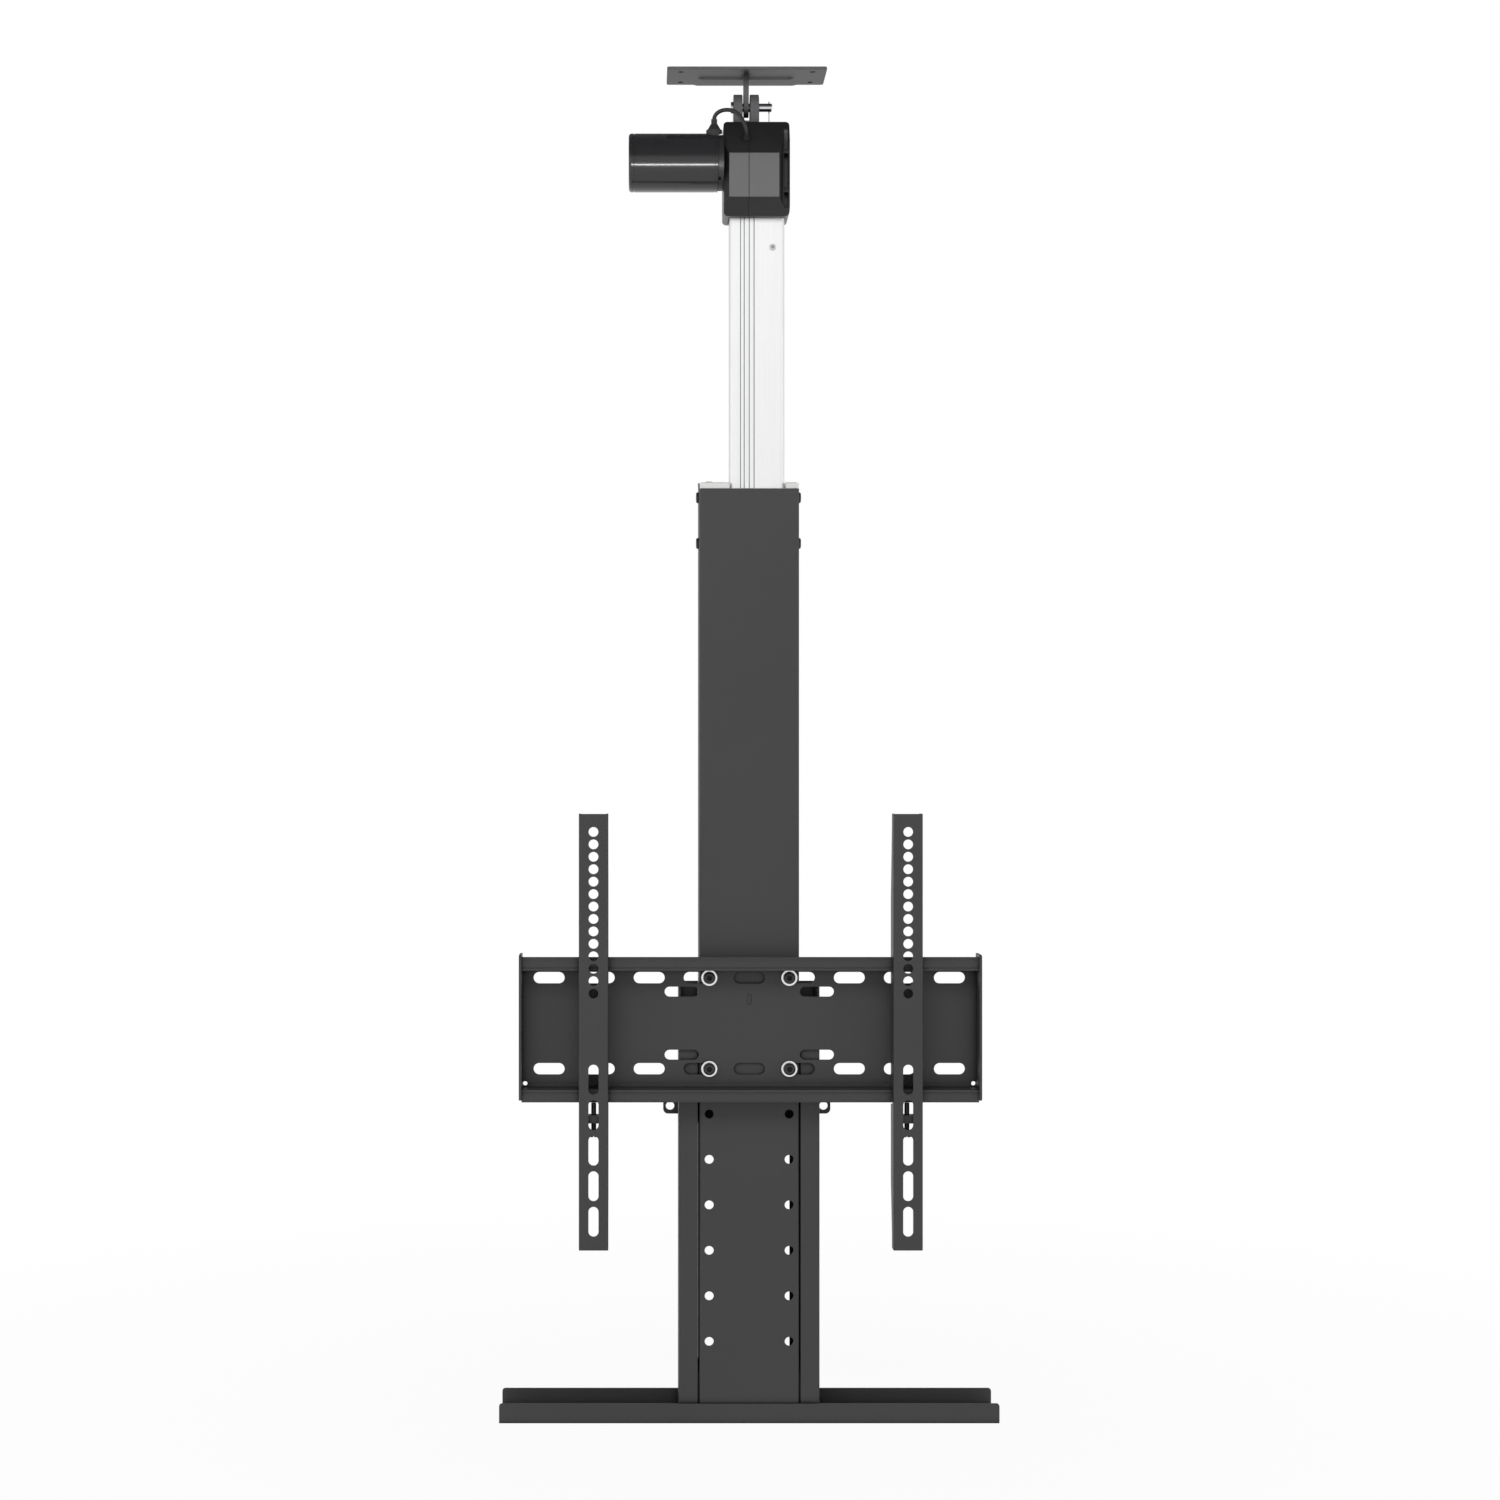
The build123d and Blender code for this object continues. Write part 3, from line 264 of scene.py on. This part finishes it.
finishes = {
    "black_steel": grainedFinish(powderLook, "powderBlack", (0.043, 0.043, 0.044), 0.5),
    "bracket_steel": grainedFinish(powderLook, "bracketBlack", (0.041, 0.041, 0.042), 0.48),
    "black_cast": grainedFinish(powderLook, "forkBlack", (0.076, 0.076, 0.080), 0.4),
    "black_screw": grainedFinish(screwLook, "screwBlack", (0.022, 0.022, 0.024), 0.34),
    "zinc_steel": drawnMetal(zincLook, "zincPlate", (0.90, 0.90, 0.91), 0.3, (1.0, 1.0, 1.0)),
    "bright_steel": drawnMetal(metalLook, "brightSteel", (0.72, 0.72, 0.74), 0.2, (1.0, 1.0, 0.05)),
    "aluminium": drawnMetal(metalLook, "satinAluminium", (0.93, 0.93, 0.935), 0.4,
                            (1.0, 1.0, 0.01), metallic=0.4),
    "bronze": drawnMetal(metalLook, "turnedBronze", (0.66, 0.45, 0.2), 0.3, (1.0, 1.0, 0.2)),
    "white_plastic": grainedFinish(plasticLook, "guidePlastic", (0.74, 0.74, 0.73), 0.45),
    "black_plastic": grainedFinish(plasticLook, "gearboxPlastic", (0.011, 0.011, 0.012), 0.36),
    "motor_gloss": glossPaint(glossLook, "motorGloss", (0.009, 0.009, 0.010)),
    "cord_rubber": grainedFinish(plasticLook, "leadRubber", (0.022, 0.022, 0.023), 0.5),
    "rubber": grainedFinish(plasticLook, "bufferRubber", (0.03, 0.03, 0.031), 0.7),
    "board": grainedFinish(plasticLook, "switchBoard", (0.03, 0.13, 0.06), 0.4),
}

# the top plate gets a paler copy of the black powder coat: painted light for the light that the
# floor throws up onto it
paintedLightFinish = {"top_plate": grainedFinish(powderLook, "plateBlackPaintedLight", (0.078, 0.078, 0.079), 0.5)}

slotOf = {entry["node"]: entry["material_slot"] for entry in frame["record"]["subparts"]}
bodies = frame["record"]["behaviour"]["bodies"]
bodyOf = {node: body for body, nodes in bodies.items() for node in nodes}
for nodeName, nodeObject in frame["nodes"].items():
    nodeObject.data.materials.clear()
    nodeObject.data.materials.append(finishes[slotOf[nodeName]])
print("finishes on:", len(slotOf), "nodes")

# copies of the frame's own solids, for pieces that get rounded edges or a cut

copySetup = {
    "mergeWithin": 0.000002,
    "flatWithin": 0.5,        # degrees: faces this close to flat are joined
    "bevelSegments": 2,
    "sharpFrom": 35.0,        # degrees: edges sharper than this are rounded
}


def copyOfNode(nodeName, pieceName):
    bpy.ops.object.select_all(action="DESELECT")
    source = frame["nodes"][nodeName]
    piece = bpy.data.objects.new(pieceName, source.data.copy())
    bpy.context.scene.collection.objects.link(piece)
    piece.select_set(True)
    bpy.context.view_layer.objects.active = piece
    bpy.ops.object.mode_set(mode="EDIT")
    bpy.ops.mesh.select_all(action="SELECT")
    bpy.ops.mesh.remove_doubles(threshold=copySetup["mergeWithin"])
    bpy.ops.mesh.dissolve_limited(angle_limit=math.radians(copySetup["flatWithin"]))
    bpy.ops.object.mode_set(mode="OBJECT")
    return piece


def roundEdges(piece, width):
    sharp = math.radians(copySetup["sharpFrom"])
    modifier = piece.modifiers.new("softEdges", "BEVEL")
    modifier.width = width
    modifier.segments = copySetup["bevelSegments"]
    modifier.limit_method = "ANGLE"
    modifier.angle_limit = sharp
    modifier.use_clamp_overlap = True
    bpy.ops.object.modifier_apply(modifier=modifier.name)
    bpy.ops.object.shade_smooth_by_angle(angle=sharp)
    flatten = piece.modifiers.new("flatFaces", "WEIGHTED_NORMAL")
    flatten.keep_sharp = True
    bpy.ops.object.modifier_apply(modifier=flatten.name)


def standFor(piece, nodeName):
    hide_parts(nodeName)
    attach(piece, bodyOf[nodeName])


def dressPiece(piece, *materials):
    piece.data.materials.clear()
    for material in materials:
        piece.data.materials.append(material)


# sheet metal and fork: each node's piece and the width of its rounded edges

softEdges = {
    "foot_channel": ("footChannel", 0.0005),
    "guide_rail_left": ("railLeft", 0.0004),
    "guide_rail_right": ("railRight", 0.0004),
    "column": ("liftColumn", 0.0004),
    "bracket_plate": ("screenBracket", 0.0003),
    "arm_left": ("armLeft", 0.0003),
    "arm_right": ("armRight", 0.0003),
    "top_plate": ("topPlate", 0.0004),
    "clevis": ("forkClevis", 0.0007),
}

# the rails' back lips close on the column, so that no light shows between them
railSeal = {
    "rails": ("guide_rail_left", "guide_rail_right"),
    "lipEdge": 0.0503,
    "within": 0.00005,        # how near the lip's edge a point has to be
    "closedTo": 0.05004,
    "backFrom": 0.029,
}


def closeBackLip(piece, seal):
    for vertex in piece.data.vertices:
        onLip = abs(abs(vertex.co.x) - seal["lipEdge"]) < seal["within"]
        if onLip and vertex.co.y > seal["backFrom"]:
            vertex.co.x = math.copysign(seal["closedTo"], vertex.co.x)


def softenSheet(rows):
    for nodeName, (pieceName, width) in rows.items():
        piece = copyOfNode(nodeName, pieceName)
        if nodeName in railSeal["rails"]:
            closeBackLip(piece, railSeal)
        roundEdges(piece, width)
        # the top plate takes its paler coat, painted light
        dressPiece(piece, paintedLightFinish.get(nodeName, finishes[slotOf[nodeName]]))
        standFor(piece, nodeName)


softenSheet(softEdges)
print("sheet metal softened")

# guide in the column's top: its front is open in front of the profile

guideCut = {
    "low": (-0.0196, -0.040, 0.9349),
    "high": (0.0366, -0.0185, 0.950),
    "edgeRound": 0.0006,
}


def makeGuide(cut):
    piece = copyOfNode("top_guide", "paleGuide")
    bpy.ops.object.select_all(action="DESELECT")
    middle = [(a + b) / 2 for a, b in zip(cut["low"], cut["high"])]
    size = [b - a for a, b in zip(cut["low"], cut["high"])]
    bpy.ops.mesh.primitive_cube_add(size=1, location=middle, scale=size)
    block = bpy.context.object
    bpy.ops.object.select_all(action="DESELECT")
    piece.select_set(True)
    bpy.context.view_layer.objects.active = piece
    opening = piece.modifiers.new("frontOpening", "BOOLEAN")
    opening.operation = "DIFFERENCE"
    opening.object = block
    opening.solver = "EXACT"
    bpy.ops.object.modifier_apply(modifier=opening.name)
    bpy.data.objects.remove(block, do_unlink=True)
    roundEdges(piece, cut["edgeRound"])
    dressPiece(piece, finishes["white_plastic"])
    standFor(piece, "top_guide")


makeGuide(guideCut)
print("guide opened")

# motor lead: one smooth line from the grommet over to the gland

motorLead = {
    "thickness": 0.004,
    "points": [(-0.0350, -0.0300, 1.3040), (-0.0347, -0.0305, 1.3090), (-0.0250, -0.0375, 1.3128),
               (-0.0115, -0.0455, 1.3082), (-0.0030, -0.0491, 1.2909), (-0.0030, -0.0406, 1.2856)],
    "length": 0.0585,
    "stepsAlong": 16,
    "stepsAround": 6,
}


def makeLead(lead):
    line = bpy.data.curves.new("motorCord", "CURVE")
    line.dimensions = "3D"
    spline = line.splines.new("NURBS")
    spline.points.add(len(lead["points"]) - 1)
    for point, place in zip(spline.points, lead["points"]):
        point.co = (*place, 1.0)
    spline.order_u = 3
    spline.use_endpoint_u = True
    spline.resolution_u = lead["stepsAlong"]
    line.bevel_depth = lead["thickness"] / 2
    line.bevel_resolution = lead["stepsAround"]
    line.use_fill_caps = True
    piece = bpy.data.objects.new("motorCord", line)
    bpy.context.scene.collection.objects.link(piece)
    dressPiece(piece, finishes["cord_rubber"])
    standFor(piece, "motor_lead")


makeLead(motorLead)
print("lead laid")

# gearbox: the shells with rounded edges; the front panel and the pocket floors get a matt finish
# and a far paler colour, which is painted light on the faces that look to the front

gearboxDress = {
    "shells": {
        "gearbox_shell_left": "gearboxLeftHalf",
        "gearbox_shell_right": "gearboxRightHalf",
    },
    "edgeRound": 0.0016,
    # the panel's paler colour is painted light: the same black plastic, lit from the front
    "paintedLightColour": (0.127, 0.127, 0.129),
    "panelRoughness": 0.6,
    "panelWithin": 0.0005,     # how far behind the front the panel's face may lie
    "pocketFrom": 0.012,       # the pocket floors lie further back than this
    "bandLeft": 0.0335,        # and right of this
    "facing": 0.99,            # how squarely a face looks to the front to get the matt finish and the painted light
}


def makeGearbox(dress):
    mattPaintedLight = grainedFinish(plasticLook, "gearboxPanelPaintedLight", dress["paintedLightColour"], dress["panelRoughness"])
    for nodeName, pieceName in dress["shells"].items():
        piece = copyOfNode(nodeName, pieceName)
        roundEdges(piece, dress["edgeRound"])
        dressPiece(piece, finishes["black_plastic"], mattPaintedLight)
        front = min(vertex.co.y for vertex in piece.data.vertices)
        for polygon in piece.data.polygons:
            across, depth = polygon.center.x, polygon.center.y
            onPanel = depth < front + dress["panelWithin"]
            inPocket = across > dress["bandLeft"] and depth > front + dress["pocketFrom"]
            looksFront = polygon.normal.y < -dress["facing"]
            # front-facing panel and pocket faces take the painted light
            polygon.material_index = 1 if looksFront and (onPanel or inPocket) else 0
        standFor(piece, nodeName)


makeGearbox(gearboxDress)
print("gearbox dressed")

# floor, backdrop and light

floorSetup = {
    "half": 9.0,
    "level": -0.0006,
    "colour": (0.56, 0.56, 0.56),
    "roughness": 0.8,
    "shareNear": 0.95,         # how much of the floor's own white the camera sees near the lift
    "shareFar": 1.0,
    "fade": (0.3, 1.4),        # metres from the lift between the two
}


def floorMaterial(setup):
    material, tree, shader = newMaterial("paleFloor", setup["colour"], setup["roughness"])
    lightPath = tree.nodes.new("ShaderNodeLightPath")
    glow = tree.nodes.new("ShaderNodeEmission")
    glow.inputs["Color"].default_value = (1.0, 1.0, 1.0, 1.0)
    coordinates = tree.nodes.new("ShaderNodeTexCoord")
    reach = tree.nodes.new("ShaderNodeVectorMath")
    reach.operation = "LENGTH"
    tree.links.new(coordinates.outputs["Object"], reach.inputs[0])
    fade = tree.nodes.new("ShaderNodeMapRange")
    fade.inputs["From Min"].default_value = setup["fade"][0]
    fade.inputs["From Max"].default_value = setup["fade"][1]
    fade.inputs["To Min"].default_value = setup["shareNear"]
    fade.inputs["To Max"].default_value = setup["shareFar"]
    tree.links.new(reach.outputs["Value"], fade.inputs["Value"])
    share = tree.nodes.new("ShaderNodeMath")
    share.operation = "MULTIPLY"
    seen = tree.nodes.new("ShaderNodeMath")
    seen.operation = "MAXIMUM"
    tree.links.new(lightPath.outputs["Is Camera Ray"], seen.inputs[0])
    tree.links.new(lightPath.outputs["Is Glossy Ray"], seen.inputs[1])
    tree.links.new(seen.outputs["Value"], share.inputs[0])
    tree.links.new(fade.outputs["Result"], share.inputs[1])
    blend = tree.nodes.new("ShaderNodeMixShader")
    tree.links.new(share.outputs["Value"], blend.inputs["Fac"])
    tree.links.new(shader.outputs["BSDF"], blend.inputs[1])
    tree.links.new(glow.outputs["Emission"], blend.inputs[2])
    tree.links.new(blend.outputs["Shader"], tree.nodes["Material Output"].inputs["Surface"])
    return material


def addFloor(setup):
    bpy.ops.object.select_all(action="DESELECT")
    bpy.ops.mesh.primitive_plane_add(size=2 * setup["half"], location=(0, 0, setup["level"]))
    floor = bpy.context.object
    floor.name = "paleFloor"
    floor.data.materials.append(floorMaterial(setup))


# lamp panels: mirrored is off where a panel fills and doesn't show as a patch in gloss
lampPanels = {
    "frontPanel": {
        "place": (-0.4, -2.2, 2.3), "aim": (0, 0, 1.25),
        "width": 2.0, "height": 1.2, "power": 44.0,
        "mirrored": False, "onlyOn": (),
    },
    "stripPanel": {
        "place": (-0.2, -3.4, 0.185), "aim": (-0.08, 0, 1.26),
        "width": 2.4, "height": 0.27, "power": 50.0,
        "mirrored": True, "onlyOn": ("motor_can", "motor_flange"),
    },
    "leftPanel": {
        "place": (-2.6, -1.2, 0.9), "aim": (0, 0, 0.7),
        "width": 0.8, "height": 1.8, "power": 7.0,
        "mirrored": True, "onlyOn": (),
    },
    "rightPanel": {
        "place": (2.6, -1.4, 0.9), "aim": (0, 0, 0.7),
        "width": 0.8, "height": 1.8, "power": 7.0,
        "mirrored": True, "onlyOn": (),
    },
    "backPanel": {
        "place": (0.9, 3.0, 1.7), "aim": (0, 0, 0.8),
        "width": 2.0, "height": 1.2, "power": 16.0,
        "mirrored": False, "onlyOn": (),
    },
}


def addPanel(name, panel):
    bpy.ops.object.light_add(type="AREA", location=panel["place"])
    lamp = bpy.context.object
    lamp.name = name
    lamp.data.shape = "RECTANGLE"
    lamp.data.size = panel["width"]
    lamp.data.size_y = panel["height"]
    lamp.data.energy = panel["power"]
    lamp.visible_glossy = panel["mirrored"]
    reach = [end - start for start, end in zip(panel["place"], panel["aim"])]
    rise = math.atan2(reach[2], math.hypot(reach[0], reach[1]))
    turn = math.atan2(reach[1], reach[0])
    lamp.rotation_euler = (math.pi / 2 + rise, 0, turn - math.pi / 2)
    if panel["onlyOn"]:
        lit = bpy.data.collections.new(name + "Lit")
        for nodeName in panel["onlyOn"]:
            lit.objects.link(frame["nodes"][nodeName])
        lamp.light_linking.receiver_collection = lit


# world: white to the camera, otherwise bright around the horizon and dim above
skySetup = {
    "strength": 0.8,
    "stops": [(0.0, 0.7), (0.46, 1.15), (0.595, 1.15), (0.68, 0.26), (1.0, 0.12)],
}


def setWorld(setup):
    world = bpy.data.worlds.new("studioWorld")
    bpy.context.scene.world = world
    world.use_nodes = True
    tree = world.node_tree
    background = tree.nodes["Background"]
    coordinates = tree.nodes.new("ShaderNodeTexCoord")
    split = tree.nodes.new("ShaderNodeSeparateXYZ")
    tree.links.new(coordinates.outputs["Generated"], split.inputs["Vector"])
    height = tree.nodes.new("ShaderNodeMapRange")
    height.inputs["From Min"].default_value = -1.0
    tree.links.new(split.outputs["Z"], height.inputs["Value"])
    ramp = tree.nodes.new("ShaderNodeValToRGB")
    stops = ramp.color_ramp.elements
    while len(stops) < len(setup["stops"]):
        stops.new(0.5)
    for stop, (place, level) in zip(stops, setup["stops"]):
        stop.position = place
        stop.color = (level, level, level, 1.0)
    tree.links.new(height.outputs["Result"], ramp.inputs["Fac"])
    tree.links.new(ramp.outputs["Color"], background.inputs["Color"])
    background.inputs["Strength"].default_value = setup["strength"]
    lightPath = tree.nodes.new("ShaderNodeLightPath")
    white = tree.nodes.new("ShaderNodeBackground")
    white.inputs["Color"].default_value = (1.0, 1.0, 1.0, 1.0)
    blend = tree.nodes.new("ShaderNodeMixShader")
    tree.links.new(lightPath.outputs["Is Camera Ray"], blend.inputs["Fac"])
    tree.links.new(background.outputs["Background"], blend.inputs[1])
    tree.links.new(white.outputs["Background"], blend.inputs[2])
    tree.links.new(blend.outputs["Shader"], tree.nodes["World Output"].inputs["Surface"])


addFloor(floorSetup)
for panelName, panelRow in lampPanels.items():
    addPanel(panelName, panelRow)
setWorld(skySetup)
bpy.context.scene.view_settings.view_transform = "Standard"
print("floor and light set")
